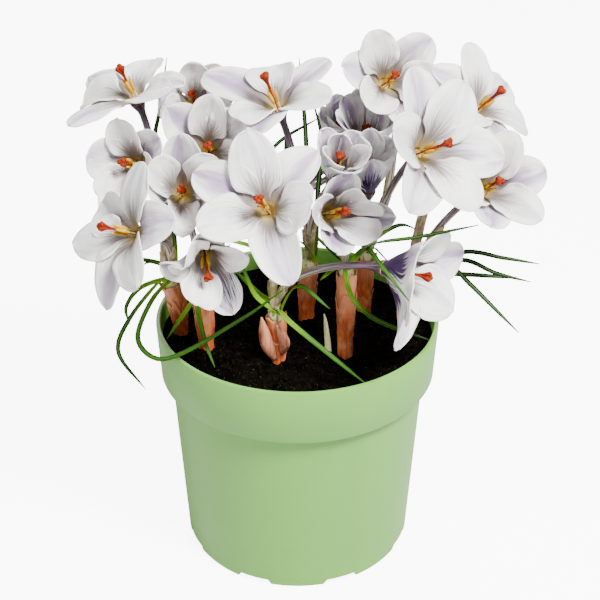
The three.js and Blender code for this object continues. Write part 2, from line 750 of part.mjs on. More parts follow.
function tuftBody(tuft, feet, leaves) {
  const top = tuftPoint(tuft, tuft.rise);
  const low = tuft.rise - SHEATH.pocket + GAP;
  const plug = turned(
    [
      [0, low],
      [CROWN_RADIUS, low],
      [CROWN_RADIUS, (low + tuft.rise) / 2],
      [CROWN_RADIUS, tuft.rise + 1.4],
      [CROWN_RADIUS * 0.7, tuft.rise + 2.2],
      [0, tuft.rise + 2.2],
    ],
    8,
  );
  const crown = reshape(plug, (x, y, z) => {
    const centre = tuftPoint(tuft, z);
    return new Vector(centre.x + x, centre.y + y, centre.z);
  });
  let body = solid(crown);
  for (const foot of feet) {
    const hole = rod(
      foot.clone().setZ(foot.z - TUBE.seat - GAP),
      UP,
      TUBE.seat + 3,
      TUBE.foot + GAP,
      8,
    );
    body = body.subtract(solid(hole));
  }
  const turns = leafTurns(top, leaves);
  return joined([body, ...leaves.map((points, i) => leafBody(top, turns[i], points))]);
}

// Assembly

const MATERIALS = {
  pot: { color: "#a9c696", roughness: 0.5 },
  soil: { color: "#1a1610", roughness: 1 },
  sheath: { color: "#c0673a", roughness: 0.8 },
  leaf: { color: "#3f6a2c", roughness: 0.55 },
  tepal: { color: "#e4e2e2", roughness: 0.6 },
  heart: { color: "#e8611c", roughness: 0.6 },
};

const group = new THREE.Group();

function place(name, body, material) {
  const mesh = new THREE.Mesh(
    geometryOf(body),
    new THREE.MeshStandardMaterial({ ...MATERIALS[material], metalness: 0 }),
  );
  mesh.name = name;
  group.add(mesh);
}

place("pot", potBody(), "pot");
place("soil", soilBody(), "soil");
place("sprout", sproutBody(), "leaf");
for (const [number, tuft] of Object.entries(TUFTS)) {
  const blooms = Object.entries(BLOOMS).filter(([, bloom]) => bloom.tuft === Number(number));
  const feet = blooms.map(([, bloom]) => tubeFoot(bloom));
  const leaves = LEAVES.filter(([home]) => home === Number(number)).map((leaf) => leaf.slice(1));
  const scales = SCALES.filter(([home]) => home === Number(number)).map((scale) => scale.slice(1));
  place(`sheath_${number}`, sheathBody(tuft, scales), "sheath");
  place(`leaves_${number}`, tuftBody(tuft, feet, leaves), "leaf");
  for (const [letter, bloom] of blooms) {
    place(`bloom_${letter}`, bloomBody(bloom), "tepal");
    place(`heart_${letter}`, heartBody(bloom), "heart");
  }
}

export default group;
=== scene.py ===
# Looks of the potted crocus: the pot, soil, sheaths, leaves and blooms of the frame, replaced
# by finer pieces of the same form.
# Shapes are worked out in millimetres, and scaled to metres as each piece is made.

import math
import random
from types import SimpleNamespace

import bmesh
import bpy
from mathutils import Matrix, Vector, noise


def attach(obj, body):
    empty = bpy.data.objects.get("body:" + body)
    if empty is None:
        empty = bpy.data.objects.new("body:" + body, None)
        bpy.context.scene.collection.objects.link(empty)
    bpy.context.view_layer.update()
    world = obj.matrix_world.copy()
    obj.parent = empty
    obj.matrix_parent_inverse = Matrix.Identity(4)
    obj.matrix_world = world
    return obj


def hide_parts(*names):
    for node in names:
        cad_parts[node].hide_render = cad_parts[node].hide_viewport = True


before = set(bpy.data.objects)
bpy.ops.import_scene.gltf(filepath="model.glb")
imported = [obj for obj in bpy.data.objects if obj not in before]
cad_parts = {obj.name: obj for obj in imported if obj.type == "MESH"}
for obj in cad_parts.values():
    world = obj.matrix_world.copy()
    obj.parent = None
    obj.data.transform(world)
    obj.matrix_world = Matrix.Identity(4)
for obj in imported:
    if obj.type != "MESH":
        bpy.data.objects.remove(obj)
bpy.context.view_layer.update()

MM = 0.001
UP = Vector((0, 0, 1))
GAP = 0.3

# Pot: a rounding is how far it goes in, then how far up or down

POT = SimpleNamespace(
    height=108.5, rim_radius=60, rim_round=0.9, rim_bevel=(0.3, 0.25), lip_wall=2,
    lip_round=(0.5, 0.7), collar_depth=25, collar_foot_radius=58.7, collar_round=(0.3, 0.5),
    wall_top_radius=54.5, base_radius=49.6, base_round=(0.6, 0.9), wall=1.5, step_slope=2,
    floor=1.8, base_rise=3.2, foot_ring=5, foot_slope=1, pad_radius=20, pad_slope=1.5, notches=8,
    notch_width=13, notch_clear=0.6, drains=8, drain_radius=4, drain_circle=34, drain_depth=10,
    drain_sides=32, drain_turn=0.03, sides=240, sharp=math.radians(28),
)

# Soil

SOIL = SimpleNamespace(
    level=98, rim_level=99.5, swell=1.6, lumps=0.9, clods=1.3, rim_gap=0.6, even_rim=2,
    floor_gap=1.6, step=(1.8, -2.4), cells=150, crumbs=420,
    crumb_sizes=(0.5, 0.6, 0.8, 0.9, 1.2, 1.6), bare=5,
)

# Sheaths, each with a shorter outer sleeve, and crowns

SHEATH = SimpleNamespace(
    radius=3.7, foot=2.7, wall=0.5, depth=13, pocket=12, skin=0.25, sleeve_depth=2,
    sleeve_share=(0.25, 0.8), sleeve_gap=0.4, tear=2.2, sleeve_tear=5, nick=1.2, wrinkle=0.3,
    crease=0.25, cells=(36, 48),
)
CROWN_RADIUS = SHEATH.radius - SHEATH.wall - GAP
TUFTS = {
    1: dict(at=(-50, 0), rise=26, lean=(-3.5, -1)),
    2: dict(at=(-38.5, -11), rise=24, lean=(-1, 1)),
    3: dict(at=(-32, 22), rise=30, lean=(-2, 1)),
    4: dict(at=(-8, -19), rise=22, lean=(-1, 0)),
    5: dict(at=(4, 14), rise=27, lean=(1, 1)),
    6: dict(at=(20, -16), rise=40, lean=(0, 0)),
    7: dict(at=(29, 20), rise=28, lean=(1, 0)),
    8: dict(at=(-4, 38), rise=30, lean=(0, 2)),
    9: dict(at=(46, 0), rise=26, lean=(2, -1)),
}

# Pointed scales that grow from a sheath's side: tuft, radius, then the points that each passes

SCALES = [
    (4, 2.2, (-1.4, -2, 1.5), (-4.6, -3.6, 10), (-6.6, -4.6, 23)),
    (4, 1.7, (1.6, -2, 4), (2.8, -4.6, 11), (-0.4, -5.8, 20)),
]
SCALE = SimpleNamespace(full=1.08, first=0.15, last=0.995, ridge=0.12, cells=(24, 24))

# Young shoot between two tufts

SPROUT = SimpleNamespace(
    at=(13, -15), radius=1.4, tip=0.5, rise=20, depth=6, lean=(-2, -1), ridge=0.14, cells=(32, 20),
)

# The photograph's camera, with its frame and focal length in pixels

VIEW = SimpleNamespace(frame=600, focal=1500, distance=634, pitch=30.9, aim=Vector((1.1, 0, 115.4)))
PITCH = math.radians(VIEW.pitch)
FORWARD = Vector((0, math.cos(PITCH), -math.sin(PITCH)))
RIGHT = Vector((1, 0, 0))
CAMERA_UP = RIGHT.cross(FORWARD)
CAMERA = VIEW.aim - FORWARD * VIEW.distance

# Blooms
# tuft: the tuft each grows from; foot: the bearing of its foot on the crown
# throat: pixel and y; facing: bearing from the front toward +X, and height over the horizon
# open: how far outer and inner tepals lean from the bloom's line; size: an outer tepal's length
# tips: tepals whose tip's pixel is known, by number (even ones are outer, counted around the
# throat from roll); sway: how the tube bows; net: tepals with veins all over their inner face

BLOOMS = {
    "a": dict(
        tuft=1, foot=80, throat=(137, 101, 22), facing=(-50, 66), roll=30, open=(74, 68), size=31,
        tips={0: (184, 84), 1: (157, 63), 2: (78, 87), 3: (84, 108), 4: (67, 124), 5: (171, 90)}),
    "b": dict(
        tuft=3, foot=90, throat=(195, 106, 46), facing=(0, 40), roll=45, open=(42, 36), size=31,
        tips={0: (222, 68), 1: (193, 59), 2: (162, 100)}),
    "c": dict(
        tuft=5, foot=120, throat=(279, 111, 12), facing=(-44, 66), roll=70, open=(76, 68), size=33,
        tips={0: (330, 60), 1: (278, 65), 2: (203, 72), 3: (237, 119), 4: (253, 131)}),
    "d": dict(
        tuft=1, foot=200, throat=(140, 165, 20), facing=(-20, 28), roll=42, open=(44, 38), size=31,
        tips={0: (157, 140), 1: (117, 118), 2: (91, 157), 3: (97, 197), 4: (101, 222)}),
    "e": dict(
        tuft=1, foot=-5, throat=(139, 234, -34), facing=(-56, 27), roll=34, open=(72, 68), size=31,
        tips={0: (171, 220), 1: (146, 163), 2: (104, 202), 3: (74, 242), 4: (105, 310),
        5: (138, 288)}),
    "f": dict(
        tuft=2, foot=90, throat=(182, 195, -14), facing=(5, 34), roll=88, open=(42, 36), size=31,
        tips={0: (180, 133), 1: (146, 168), 2: (162, 205), 3: (182, 236), 4: (207, 213)}),
    "g": dict(
        tuft=3, foot=-30, throat=(208, 151, 14), facing=(4, 32), roll=28, open=(48, 42), size=31,
        tips={0: (240, 120), 1: (212, 92), 2: (166, 108), 4: (215, 212)}),
    "h": dict(
        tuft=4, foot=-140, throat=(268, 212, -42), facing=(-13, 42), roll=45, open=(80, 66),
        size=32, tips={0: (317, 149), 1: (247, 131), 2: (193, 172), 3: (197, 229), 4: (291, 285),
        5: (313, 203)}),
    "i": dict(
        tuft=2, foot=-50, throat=(204, 248, -34), facing=(8, -12), roll=-50, open=(36, 30), size=30,
        net=(0,), tips={0: (231, 314), 1: (247, 251), 2: (199, 235), 4: (166, 264), 5: (199, 304)}),
    "j": dict(
        tuft=8, foot=120, throat=(339, 150, 52), facing=(0, 72), roll=40, open=(25, 21), size=27,
        tips={0: (350, 96), 2: (322, 112)}),
    "k": dict(
        tuft=8, foot=0, throat=(364, 152, 32), facing=(5, 66), roll=90, open=(26, 22), size=27,
        tips={0: (365, 88), 1: (346, 97), 2: (342, 116), 5: (383, 104)}),
    "l": dict(
        tuft=5, foot=12, throat=(334, 178, -11), facing=(14, 58), roll=30, open=(26, 22), size=28,
        sway=(-3, -2, 0), tips={0: (356, 138), 1: (343, 131), 2: (326, 133)}),
    "m": dict(
        tuft=7, foot=170, throat=(368, 190, 0), facing=(0, 74), roll=30, open=(24, 20), size=26,
        tips={0: (392, 140), 1: (370, 128), 2: (350, 142), 3: (354, 173), 4: (372, 160),
        5: (396, 156)}),
    "n": dict(
        tuft=6, foot=120, throat=(326, 214, -16), facing=(28, 28), roll=-14, open=(38, 30), size=31,
        tips={0: (394, 217), 1: (371, 198), 2: (350, 178), 3: (312, 214), 4: (340, 249),
        5: (373, 238)}),
    "o": dict(
        tuft=7, foot=30, throat=(384, 84, 38), facing=(14, 34), roll=42, open=(48, 42), size=32,
        sway=(12, 4, 0), tips={0: (430, 38), 1: (370, 30), 2: (343, 66)}),
    "p": dict(
        tuft=9, foot=90, throat=(474, 113, 20), facing=(56, 48), roll=0, open=(74, 66), size=30,
        tips={0: (509, 82), 1: (468, 44), 2: (432, 68), 4: (508, 152), 5: (527, 132)}),
    "q": dict(
        tuft=7, foot=-90, throat=(417, 154, -22), facing=(42, 33), roll=-25, open=(64, 56), size=33,
        sway=(6, -4, 0), tips={0: (507, 157), 1: (466, 82), 2: (412, 67), 3: (389, 132),
        4: (412, 212), 5: (474, 212)}),
    "r": dict(
        tuft=9, foot=-30, throat=(481, 191, -8), facing=(22, 38), roll=4, open=(46, 42), size=31,
        tips={0: (546, 170), 4: (492, 223), 5: (541, 220)}),
    "s": dict(
        tuft=4, foot=-75, throat=(384, 268, -38), facing=(62, 3), roll=-5, open=(58, 52), size=33,
        tips={0: (463, 253), 1: (449, 232), 2: (419, 250), 3: (411, 317), 4: (400, 351),
        5: (452, 311)}),
}

# How far up the outer tepals their purple reaches, and how much lilac and painted shade a bloom
# has, where not as usual

PURPLE = {"s": 0.64, "j": 0.7, "k": 0.62, "l": 0.6, "m": 0.6, "n": 0.62, "a": 0.55}
LILAC_AND_SHADE = {"j": 1.0, "k": 0.85, "l": 0.6, "m": 0.5, "n": 0.35}

# reach: the least and most of a seen tepal's length, as shares of its size; nest: how far the
# outer and inner layers stand in and out; claw, widest and end: shares of width and length

TEPAL = SimpleNamespace(
    thickness=0.42, width=0.7, inner_share=0.95, reach=(0.88, 1.12), nest=(0.6, -0.6), nest_by=0.25,
    swing=math.radians(34), claw=0.2, widest=0.55, end=0.45, ripple=0.9, cup=(0.6, 2.0),
    curl=(-1.2, 1.6), crease=0.3, crease_width=0.12, purple=0.48, inner_mark=0.24,
    outer_tint=(0.55, 1.0), inner_tint=(0.0, 0.3), cells=(32, 20),
)
TUBE = SimpleNamespace(
    foot=0.7, neck=1.15, throat=3.2, lining=0.25, funnel=9, foot_circle=1.3, foot_rise=2, skin=0.3,
    cells=(40, 20), cup_depth=3, cup_cells=(6, 20),
)
SPATHE = SimpleNamespace(start=0.02, share=(0.3, 0.5), loose=0.35, swell=0.5, cells=(24, 24))
HEART = SimpleNamespace(
    reach=0.6, seat=4, fork=0.64, style=0.34, style_grow=0.3, lobe=0.36, lobe_flare=0.74, frill=0.3,
    frills=5, stamen=12, filament=0.28, filament_share=0.42, anther=0.62, groove=0.22,
)

# Leaves: tuft, then pixel and y of the points that each one passes, tip last

LEAF = SimpleNamespace(
    width=2.1, thickness=0.4, step=math.radians(45), tilt=math.radians(35), inset=0.4, rise=2.4,
    tip=0.06, foot=0.75, channel=0.35, young=(6, 26), cells=(60, 6),
)
LEAF_FACE = Vector((0, -math.sin(LEAF.tilt), math.cos(LEAF.tilt)))
LEAVES = [
    (1, (130, 318, -6), (118, 350, -14), (146, 390, -24)),
    (1, (140, 288, -6), (126, 308, -10), (130, 325, -14)),
    (1, (152, 300, -17), (138, 340, -26), (158, 359, -34), (240, 320, -42), (287, 287, -48)),
    (1, (172, 220, 22), (154, 150, 36), (160, 108, 46), (167, 57, 54)),
    (1, (162, 264, 10), (125, 257, 4), (95, 254, -4)),
    (1, (150, 262, 24), (124, 280, 40)),
    (2, (198, 302, -20), (204, 338, -32), (215, 368, -40)),
    (2, (214, 262, -6), (226, 250, -2)),
    (2, (184, 314, -17), (167, 339, -22)),
    (3, (222, 232, 52), (205, 262, 72)),
    (3, (236, 190, 44), (228, 150, 58)),
    (3, (252, 190, 36), (275, 146, 40), (320, 117, 46)),
    (3, (256, 248, 26), (284, 270, 22), (306, 283, 20)),
    (4, (290, 322, -30), (330, 355, -40), (366, 384, -50)),
    (4, (262, 296, -14), (245, 280, -8), (232, 268, -2)),
    (4, (256, 296, -20), (247, 278, -18), (241, 260, -14)),
    (4, (299, 286, -26), (330, 309, -34)),
    (5, (306, 200, 24), (306, 140, 34), (299, 56, 44)),
    (5, (318, 190, 26), (322, 142, 32), (313, 100, 36)),
    (5, (296, 240, 0), (288, 250, -8)),
    (6, (351, 295, -26), (372, 317, -32), (429, 340, -40)),
    (6, (334, 268, -24), (320, 280, -30)),
    (6, (366, 248, -38), (384, 269, -56), (409, 301, -66)),
    (6, (374, 244, -46), (418, 237, -64), (479, 225, -70)),
    (7, (400, 225, 44), (432, 240, 66)),
    (7, (388, 262, 30), (412, 290, 24)),
    (8, (284, 185, 42), (286, 140, 50), (283, 118, 54)),
    (8, (330, 210, 60), (345, 235, 84)),
    (8, (300, 205, 58), (280, 228, 82)),
    (8, (340, 258, 44), (368, 278, 40)),
    (9, (464, 252, -2), (504, 258, -6), (540, 264, -10)),
    (9, (462, 260, -4), (496, 273, -8), (531, 282, -12)),
    (9, (447, 274, -2), (519, 278, -4)),
    (9, (452, 269, -6), (470, 284, -10), (493, 307, -16), (519, 333, -22)),
    (9, (430, 250, 20), (470, 262, 36)),
]


def smooth(value, low, high):
    share = min(1, max(0, (value - low) / (high - low)))
    return share * share * (3 - 2 * share)


def mix(a, b, share):
    return a + (b - a) * share


def sight_line(u, v):
    aside = (u - VIEW.frame / 2) / VIEW.focal
    above = (VIEW.frame / 2 - v) / VIEW.focal
    return FORWARD + RIGHT * aside + CAMERA_UP * above


def seen(u, v, y):
    """The point seen at pixel (u, v) on the upright plane at y."""
    ray = sight_line(u, v)
    return CAMERA + ray * ((y - CAMERA.y) / ray.y)


def soil_height(x, y):
    share = math.hypot(x, y) / (POT.rim_radius - POT.lip_wall)
    level = SOIL.level + (SOIL.rim_level - SOIL.level) * share * share
    waves = (
        math.sin(0.21 * x + 1.3) * math.cos(0.18 * y - 0.4)
        + 0.6 * math.sin(0.43 * x - 0.31 * y + 2)
        + 0.4 * math.cos(0.37 * x + 0.52 * y)
    )
    return level + SOIL.swell / 2 * waves * (1 - smooth(share, 0.8, 0.98))


def tuft_point(tuft, height):
    """A tuft's middle line, from below the soil to its sheath's mouth, upright near the soil."""
    x, y = tuft["at"]
    upright = 4
    share = max(0, height - upright) / (tuft["rise"] - upright)
    lean_x, lean_y = tuft["lean"]
    return Vector(
        (x + lean_x * share * share, y + lean_y * share * share, soil_height(x, y) + height)
    )


# Meshes


def add_sheet(bm, along, across, place, slot=0, around=False, seed=0.0):
    """Adds a grid to bm with each point where place(s, v) says: s from 0 to 1, v from -1 to 1."""
    layers = [
        bm.verts.layers.float.get(name) or bm.verts.layers.float.new(name)
        for name in ("along", "across", "seed")
    ]
    made = bmesh.ops.create_grid(bm, x_segments=along, y_segments=across, size=1)["verts"]
    faces = {face for vert in made for face in vert.link_faces}
    for vert in made:
        s = (vert.co.x + 1) / 2
        v = vert.co.y
        for layer, value in zip(layers, (s, v, seed)):
            vert[layer] = value
        vert.co = place(s, v) * MM
    for face in faces:
        face.material_index = slot
        face.smooth = True
    if around:
        bmesh.ops.remove_doubles(bm, verts=made, dist=1e-6)


def mark_since(bm, first, layers, values):
    """Gives values(vert) to the layers of each point of bm from number first on."""
    bm.verts.ensure_lookup_table()
    for vert in bm.verts[first:]:
        for layer, value in zip(layers, values(vert)):
            vert[layer] = value


def add_object(name, bm, materials=()):
    mesh = bpy.data.meshes.new(name)
    bm.to_mesh(mesh)
    bm.free()
    for material in materials:
        mesh.materials.append(material)
    made = bpy.data.objects.new(name, mesh)
    bpy.context.collection.objects.link(made)
    return made


def piece(name, bm, node, looks):
    """Makes an object of bm that stands for the CAD node named."""
    made = add_object(f"{name}_look", bm, [LOOKS[look] for look in looks])
    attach(made, "root")
    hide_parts(node)
    return made


def add_skin(made, thickness, offset=0):
    skin = made.modifiers.new("skin", "SOLIDIFY")
    skin.thickness = thickness * MM
    skin.offset = offset
    return skin


def along_curve(curve, along):
    """Points of curve(t) at even steps, each with two unit lines across the curve."""
    frames = []
    side = None
    for i in range(along + 1):
        t = i / along
        step = 1e-3
        way = (curve(min(1, t + step)) - curve(max(0, t - step))).normalized()
        if side is None:
            side = Vector((1, 0, 0)) if abs(way.x) < 0.9 else Vector((0, 1, 0))
        side = (side - way * side.dot(way)).normalized()
        frames.append((curve(t), side, way.cross(side)))
    return frames


def off_line(middle, wide, high, turn, reach):
    """The point at reach from middle, turned around a line that wide and high cross."""
    return middle + wide * (reach * math.cos(turn)) + high * (reach * math.sin(turn))


def ring_way(turn):
    return Vector((math.cos(turn), math.sin(turn), 0))


def tube_around(bm, curve, radius, along, across, slot=0, seed=0.0):
    """Adds a round skin that follows curve(t), radius(t, turn) from it."""
    frames = along_curve(curve, along)

    def place(s, v):
        turn = math.pi * v
        return off_line(*frames[round(s * along)], turn, radius(s, turn))

    add_sheet(bm, along, across, place, slot, around=True, seed=seed)


def catmull(stops):
    """The centripetal curve through stops, as a function of the share of its length."""
    ends = [stops[0] * 2 - stops[1], *stops, stops[-1] * 2 - stops[-2]]
    points = []
    steps = 24
    for i in range(1, len(ends) - 2):
        p0, p1, p2, p3 = ends[i - 1 : i + 3]
        d0, d1, d2 = (max(1e-4, (b - a).length) ** 0.5 for a, b in ((p0, p1), (p1, p2), (p2, p3)))
        m1 = ((p1 - p0) / d0 - (p2 - p0) / (d0 + d1) + (p2 - p1) / d1) * d1
        m2 = ((p2 - p1) / d1 - (p3 - p1) / (d1 + d2) + (p3 - p2) / d2) * d1
        for j in range(steps):
            t = j / steps
            points.append(
                p1 * (2 * t**3 - 3 * t**2 + 1)
                + m1 * (t**3 - 2 * t**2 + t)
                + p2 * (3 * t**2 - 2 * t**3)
                + m2 * (t**3 - t**2)
            )
    points.append(stops[-1])
    lengths = [0.0]
    for a, b in zip(points, points[1:]):
        lengths.append(lengths[-1] + (b - a).length)

    def at(share):
        target = share * lengths[-1]
        for i in range(1, len(points)):
            if lengths[i] >= target:
                part = (target - lengths[i - 1]) / max(1e-9, lengths[i] - lengths[i - 1])
                return points[i - 1].lerp(points[i], part)
        return points[-1]

    return at


def bezier(points):
    """The Bezier curve of three or four points."""
    if len(points) == 3:
        a, b, c = points
        return lambda t: a * (1 - t) ** 2 + b * (2 * t * (1 - t)) + c * t**2
    a, b, c, d = points
    return lambda t: (
        a * (1 - t) ** 3 + b * (3 * t * (1 - t) ** 2) + c * (3 * t * t * (1 - t)) + d * t**3
    )


# Materials: patterns follow Object coordinates in metres, or a sheet's own along and across


def rgb(red, green, blue):
    """A colour as a screen shows it, from 0 to 255, made linear."""
    parts = (red / 255, green / 255, blue / 255)
    return (*(p / 12.92 if p < 0.04045 else ((p + 0.055) / 1.055) ** 2.4 for p in parts), 1)


class Look:
    """A material and short ways to add nodes to it; mix takes screen colours as they are."""

    def __init__(self, name, **sockets):
        self.material = bpy.data.materials.new(name)
        self.material.use_nodes = True
        self.tree = self.material.node_tree
        self.shader = self.tree.nodes["Principled BSDF"]
        for socket, value in sockets.items():
            title = socket.replace("_", " ").title().replace("Ior", "IOR")
            self.shader.inputs[title].default_value = value

    def feed(self, socket, value):
        if isinstance(value, bpy.types.NodeSocket):
            self.tree.links.new(value, socket)
        else:
            socket.default_value = value

    def node(self, kind, inputs=(), **settings):
        made = self.tree.nodes.new(kind)
        for name, value in settings.items():
            setattr(made, name, value)
        for key, value in dict(inputs).items():
            self.feed(made.inputs[key], value)
        return made

    def attribute(self, name):
        return self.node("ShaderNodeAttribute", attribute_name=name).outputs["Fac"]

    def math(self, operation, a, b=0.0):
        return self.node("ShaderNodeMath", {0: a, 1: b}, operation=operation).outputs[0]

    def add(self, a, b):
        return self.math("ADD", a, b)

    def less(self, a, b):
        return self.math("SUBTRACT", a, b)

    def times(self, a, b):
        return self.math("MULTIPLY", a, b)

    def steps(self, value, low, high, to_low=0.0, to_high=1.0):
        inputs = {0: value, 1: low, 2: high, 3: to_low, 4: to_high}
        made = self.node("ShaderNodeMapRange", inputs, interpolation_type="SMOOTHSTEP")
        return made.outputs[0]

    def mix(self, share, a, b):
        made = self.node("ShaderNodeMix", data_type="RGBA")
        self.feed(made.inputs[0], share)
        for socket, value in zip(made.inputs[6:8], (a, b)):
            self.feed(socket, rgb(*value) if isinstance(value, tuple) else value)
        return made.outputs[2]

    def noise(self, vector, scale, detail=2.0, rough=0.5):
        inputs = {"Vector": vector, "Scale": scale, "Detail": detail, "Roughness": rough}
        return self.node("ShaderNodeTexNoise", inputs).outputs[0]

    def join(self, x, y, z):
        return self.node("ShaderNodeCombineXYZ", {0: x, 1: y, 2: z}).outputs[0]

    def place(self, x=1.0, y=1.0, z=1.0):
        """Object coordinates, stretched."""
        spot = self.node("ShaderNodeTexCoord").outputs["Object"]
        made = self.node("ShaderNodeVectorMath", {0: spot, 1: (x, y, z)}, operation="MULTIPLY")
        return made.outputs[0]

    def colour(self, value):
        self.feed(self.shader.inputs["Base Color"], value)

    def bump(self, height, strength, distance):
        inputs = {"Height": height, "Strength": strength, "Distance": distance}
        made = self.node("ShaderNodeBump", inputs)
        self.feed(self.shader.inputs["Normal"], made.outputs[0])


def tepal_look(name, outer):
    look = Look(
        name,
        roughness=0.5,
        specular_ior_level=0.35,
        subsurface_weight=0.12,
        subsurface_radius=(0.003, 0.0026, 0.0026),
        subsurface_scale=1.0,
    )
    along, across, seed, tint = (look.attribute(n) for n in ("along", "across", "seed", "tint"))
    aside = look.math("ABSOLUTE", across)
    arch = look.times(aside, aside)
    far = look.times(seed, 37.0)

    def veins(stretch, count, detail):
        spot = look.join(look.times(along, stretch), look.times(across, count), far)
        return look.noise(spot, 1.0, detail, 0.6)

    def within(reach, bend, fray, soft):
        """1 near the claw and 0 past reach of the length, which falls off by bend at the sides."""
        edge = look.less(reach, look.times(arch, bend))
        frayed = look.times(look.less(veins(1.6, 15.0, 3.0), 0.5), fray)
        past = look.less(along, look.add(edge, frayed))
        return look.steps(past, soft, -soft)

    fine = veins(2.6, 36.0, 2.0)
    clouds = look.noise(look.join(along, across, far), 1.9, 2.0)
    white = look.mix(look.steps(clouds, 0.3, 0.75), (243, 241, 236), (222, 219, 217))
    middle = look.steps(aside, 0.8, 0.1)
    # Lilac: the tepals' own blush, plus painted shade on blooms j to n
    lilac_and_shade = look.times(look.times(look.steps(clouds, 0.2, 0.6), middle), tint)
    white = look.mix(lilac_and_shade, white, (150, 130, 164))
    lines = look.times(look.steps(fine, 0.5, 0.7), look.steps(along, 1.0, 0.3, 0.0, 0.45))
    white = look.mix(lines, white, (150, 138, 164))
    if outer:
        mark = within(look.attribute("blotch"), bend=0.4, fray=1.1, soft=0.08)
        purple = look.mix(look.steps(fine, 0.35, 0.65), (18, 0, 32), (56, 18, 82))
        colour = look.mix(mark, white, purple)
        colour = look.mix(look.steps(along, 0.12, 0.0, 0.0, 0.7), colour, (62, 38, 62))
    else:
        # A grey-brown flame at each tepal's base on the inner face: the tepal's own marking,
        # deepened by painted shade inside the cup
        flame_and_shade = within(0.44, bend=0.2, fray=0.6, soft=0.2)
        colour = look.mix(look.times(flame_and_shade, 0.95), white, (102, 90, 84))
        spread = look.times(within(0.9, bend=0.2, fray=1.0, soft=0.06), look.steps(along, 0.3, 0.5))
        net = look.times(spread, look.attribute("net"))
        colour = look.mix(look.times(net, look.steps(fine, 0.44, 0.54)), colour, (26, 8, 46))
        colour = look.mix(look.steps(along, 0.24, 0.06, 0.0, 0.8), colour, (146, 132, 96))
        colour = look.mix(look.steps(along, 0.12, 0.02), colour, (176, 150, 76))
    look.colour(colour)
    relief = look.add(veins(1.2, 9.0, 3.0), look.times(fine, 0.35))
    look.bump(relief, strength=0.5, distance=0.0008)
    return look.material


def tube_look():
    look = Look("tube", roughness=0.5, subsurface_weight=0.1)
    along, across = look.attribute("along"), look.attribute("across")
    turn = look.times(across, math.pi)
    ring = look.join(
        look.times(look.math("COSINE", turn), 2.2),
        look.times(look.math("SINE", turn), 2.2),
        look.times(along, 2.0),
    )
    stripes = look.noise(ring, 1.6, detail=3.0)
    pale = look.mix(look.steps(along, 0.2, 0.8), (206, 196, 172), (116, 90, 104))
    dark = look.mix(look.steps(along, 0.1, 0.7), (126, 98, 96), (44, 24, 40))
    look.colour(look.mix(look.steps(stripes, 0.38, 0.56), pale, dark))
    return look.material


def spathe_look():
    look = Look("spathe", roughness=0.6, subsurface_weight=0.15, specular_ior_level=0.3)
    fibres = look.noise(look.place(z=0.12), 1100.0, detail=3.0, rough=0.6)
    patches = look.noise(look.place(), 120.0)
    skin = look.mix(look.steps(fibres, 0.35, 0.65), (196, 178, 140), (150, 124, 88))
    look.colour(look.mix(look.steps(patches, 0.45, 0.7), skin, (128, 116, 66)))
    look.bump(fibres, strength=0.4, distance=0.0004)
    return look.material


def leaf_look():
    look = Look("leaf", roughness=0.6, specular_ior_level=0.1)
    along, across, seed, young, painted_light = (
        look.attribute(name) for name in ("along", "across", "seed", "young", "painted_light")
    )
    midrib = look.steps(look.math("ABSOLUTE", across), 0.2, 0.08)
    patches = look.noise(look.join(look.times(along, 14.0), across, seed), 1.0)
    green = look.mix(patches, (5, 17, 4), (16, 36, 7))
    # Painted light: leaves toward the front, except on the right, get a lighter green as if lit
    green = look.mix(painted_light, green, look.mix(patches, (26, 62, 6), (54, 98, 12)))
    green = look.mix(young, green, (108, 148, 12))
    look.colour(look.mix(midrib, green, (72, 106, 48)))
    return look.material


def sheath_look(name, dark, pale, stain):
    look = Look(name, roughness=0.5, subsurface_weight=0.05)
    fibres = look.noise(look.place(z=0.05), 1300.0, detail=3.0, rough=0.6)
    patches = look.noise(look.place(z=0.4), 190.0)
    painted_highlights = look.noise(look.place(z=0.5), 300.0, detail=3.0)
    skin = look.mix(look.steps(fibres, 0.3, 0.7), dark, pale)
    skin = look.mix(look.steps(patches, 0.52, 0.7), skin, stain)
    # Pale flecks on the papery skin: painted highlights
    skin = look.mix(look.steps(painted_highlights, 0.5, 0.72, 0.0, 0.5), skin, (226, 160, 112))
    mouth = look.steps(look.attribute("along"), 0.6, 0.95, 0.0, 0.55)
    look.colour(look.mix(mouth, skin, (196, 132, 92)))
    look.bump(look.add(fibres, painted_highlights), strength=0.4, distance=0.0005)
    return look.material


def crown_look():
    look = Look("crown", roughness=0.5, subsurface_weight=0.1)
    fibres = look.noise(look.place(z=0.1), 900.0, detail=3.0)
    look.colour(look.mix(look.steps(fibres, 0.35, 0.65), (150, 158, 60), (214, 206, 150)))
    return look.material


def soil_look():
    look = Look("soil", roughness=1.0, specular_ior_level=0.02)
    clods = look.noise(look.place(), 420.0, detail=6.0, rough=0.7)
    flecks = look.noise(look.place(), 1300.0)
    dark = look.mix(look.steps(clods, 0.35, 0.7), (1, 1, 1), (13, 10, 6))
    look.colour(look.mix(look.steps(flecks, 0.66, 0.72), dark, (66, 54, 34)))
    look.bump(clods, strength=1.0, distance=0.0012)
    return look.material


def pot_look():
    look = Look("pot", roughness=0.42, specular_ior_level=0.45)
    clouds = look.noise(look.place(), 60.0, detail=3.0)
    look.colour(look.mix(clouds, (98, 152, 60), (104, 158, 66)))
    look.bump(look.noise(look.place(), 500.0), strength=0.04, distance=0.0003)
    return look.material


def plain_look(name, colour, deep, roughness=0.55):
    look = Look(name, roughness=roughness, specular_ior_level=0.2)
    grain = look.noise(look.place(), 900.0)
    look.colour(look.mix(look.steps(grain, 0.3, 0.7), colour, deep))
    return look.material


